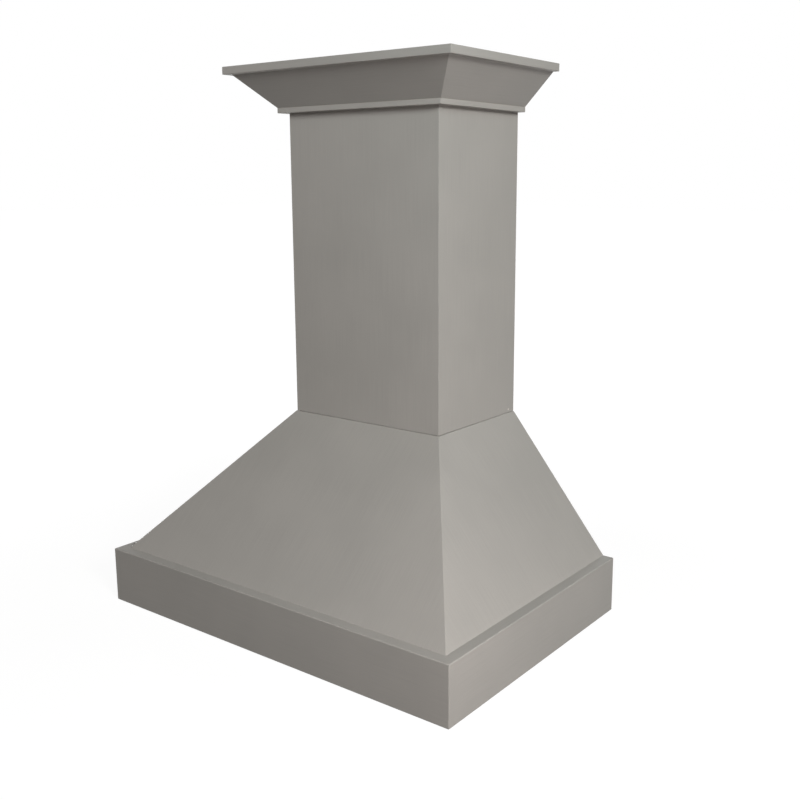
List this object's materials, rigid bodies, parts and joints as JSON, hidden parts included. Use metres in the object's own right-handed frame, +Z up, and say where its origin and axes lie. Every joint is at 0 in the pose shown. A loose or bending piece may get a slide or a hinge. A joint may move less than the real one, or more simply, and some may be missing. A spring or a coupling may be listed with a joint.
{
  "type": "range hood cover",
  "caption": "Painted wooden wall hood cover: square chimney with a flat-sprung crown on a hipped canopy and a flat apron, hung on a bevelled wall cleat.",
  "frame": {"origin": "middle of the wall cleat's four stud screws, on the wall plane, 200 mm above the apron's foot", "axes": "+Z up; -Y out of the wall towards the front of the hood; +X along the wall, to the right of someone who faces the hood"},
  "size_m": [0.914, 0.61, 1.156],
  "materials": {
    "painted_wood": "satin warm grey paint over fine vertical brush and grain lines",
    "plywood": "bare birch plywood",
    "timber": "bare planed softwood",
    "zinc_steel": "zinc-plated steel",
    "painted_steel": "small steel screw heads touched in with the paint"
  },
  "bodies": {
    "wall_side": {"wall_cleat": "timber"},
    "hood": {"apron_front_board": "painted_wood", "apron_left_board": "painted_wood", "apron_right_board": "painted_wood", "canopy_front_panel": "painted_wood", "canopy_left_panel": "painted_wood", "canopy_right_panel": "painted_wood", "chimney_front_panel": "painted_wood", "chimney_left_panel": "painted_wood", "chimney_right_panel": "painted_wood", "crown_front_bead": "painted_wood", "crown_left_bead": "painted_wood", "crown_right_bead": "painted_wood", "crown_front_frieze": "painted_wood", "crown_left_frieze": "painted_wood", "crown_right_frieze": "painted_wood", "crown_front_cap": "painted_wood", "crown_left_cap": "painted_wood", "crown_right_cap": "painted_wood", "deck_panel": "plywood", "canopy_top_plate": "plywood", "apron_corner_blocks": "timber", "base_front_rail": "timber", "base_left_rail": "timber", "base_right_rail": "timber", "base_back_rail": "timber", "hanging_cleat": "timber", "hanging_rail": "timber", "collar_front_cleat": "timber", "collar_left_cleat": "timber", "collar_right_cleat": "timber", "chimney_left_batten": "timber", "chimney_right_batten": "timber", "chimney_lower_back_rail": "timber", "chimney_upper_back_rail": "timber", "crown_blocks": "timber", "deck_screws": "zinc_steel", "base_frame_screws": "zinc_steel", "hanging_cleat_screws": "zinc_steel", "collar_screws": "zinc_steel", "chimney_screws": "painted_steel"}
  },
  "joints": [
    {"name": "lift_off", "type": "slide", "parent": "wall_side", "child": "hood", "axis": [0, 0, 1], "range_m": [0, 0.02]}
  ]
}
